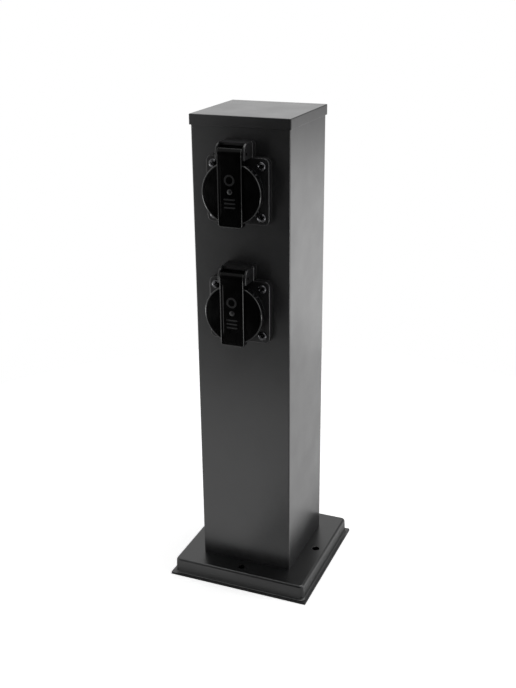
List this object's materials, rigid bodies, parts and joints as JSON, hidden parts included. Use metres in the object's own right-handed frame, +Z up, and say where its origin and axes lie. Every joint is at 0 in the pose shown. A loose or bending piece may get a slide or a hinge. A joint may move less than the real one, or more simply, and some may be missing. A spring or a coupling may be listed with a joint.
{
  "type": "garden socket post",
  "caption": "Square sheet-metal garden post on a flared foot plate, with flush power sockets on its front under sprung, hinged round lids.",
  "frame": {"origin": "centre of the foot plate's underside", "axes": "+Z up the post, -Y out of the face that carries the sockets, +X to the right of that face"},
  "size_m": [0.123, 0.123, 0.39],
  "materials": {
    "post_paint": "satin black powder coat",
    "base_paint": "matt black powder coat",
    "housing_plastic": "satin black moulding",
    "lid_plastic": "glossy black moulding",
    "black_steel": "black coated steel",
    "rubber_black": "matt",
    "zinc_steel": "zinc plated",
    "brass_parts": "bright",
    "tinned_copper": "tinned",
    "pale_plastic": "moulded",
    "live_insulation": "smooth",
    "neutral_insulation": "smooth",
    "earth_insulation": "smooth"
  },
  "bodies": {
    "post": {"column": "post_paint", "top_cap": "post_paint", "base_plate": "base_paint", "cap_seal": "rubber_black", "cable_grommet": "rubber_black", "cap_clips": "zinc_steel", "column_screws": "zinc_steel", "terminal_bracket": "zinc_steel", "bracket_screws": "zinc_steel", "bracket_nuts": "zinc_steel", "block_fixing_screws": "zinc_steel", "terminal_block_screws": "zinc_steel", "terminal_block": "pale_plastic", "terminal_sleeves": "brass_parts", "earth_bond_screw": "brass_parts", "earth_bond_nut": "brass_parts", "earth_bond_lug": "tinned_copper", "earth_bond_wire": "earth_insulation", "lower_earth_wire": "earth_insulation", "upper_earth_wire": "earth_insulation", "lower_live_wire": "live_insulation", "upper_live_wire": "live_insulation", "lower_neutral_wire": "neutral_insulation", "upper_neutral_wire": "neutral_insulation", "upper_socket_housing": "housing_plastic", "upper_flange_gasket": "rubber_black", "upper_flange_screws": "black_steel", "upper_hinge_pin": "black_steel", "upper_flange_nuts": "zinc_steel", "upper_insert_screw": "zinc_steel", "upper_terminal_screws": "zinc_steel", "upper_lid_spring": "zinc_steel", "upper_contact_block": "pale_plastic", "upper_live_contact": "brass_parts", "upper_neutral_contact": "brass_parts", "upper_earth_contact": "brass_parts", "lower_socket_housing": "housing_plastic", "lower_flange_gasket": "rubber_black", "lower_flange_screws": "black_steel", "lower_hinge_pin": "black_steel", "lower_flange_nuts": "zinc_steel", "lower_insert_screw": "zinc_steel", "lower_terminal_screws": "zinc_steel", "lower_lid_spring": "zinc_steel", "lower_contact_block": "pale_plastic", "lower_live_contact": "brass_parts", "lower_neutral_contact": "brass_parts", "lower_earth_contact": "brass_parts"},
    "upper_cover": {"upper_lid": "lid_plastic", "upper_lid_seal": "rubber_black"},
    "lower_cover": {"lower_lid": "lid_plastic", "lower_lid_seal": "rubber_black"}
  },
  "joints": [
    {"name": "upper_lid_hinge", "type": "hinge", "parent": "post", "child": "upper_cover", "pos_m": [0, -0.05425, 0.3657], "axis": [-1, 0, 0], "range_deg": [0, 110], "stiffness_Nm_per_rad": 0.02, "springref_deg": -34.38, "deforming": ["upper_lid_spring"]},
    {"name": "lower_lid_hinge", "type": "hinge", "parent": "post", "child": "lower_cover", "pos_m": [0, -0.05425, 0.2727], "axis": [-1, 0, 0], "range_deg": [0, 110], "stiffness_Nm_per_rad": 0.02, "springref_deg": -34.38, "deforming": ["lower_lid_spring"]}
  ]
}
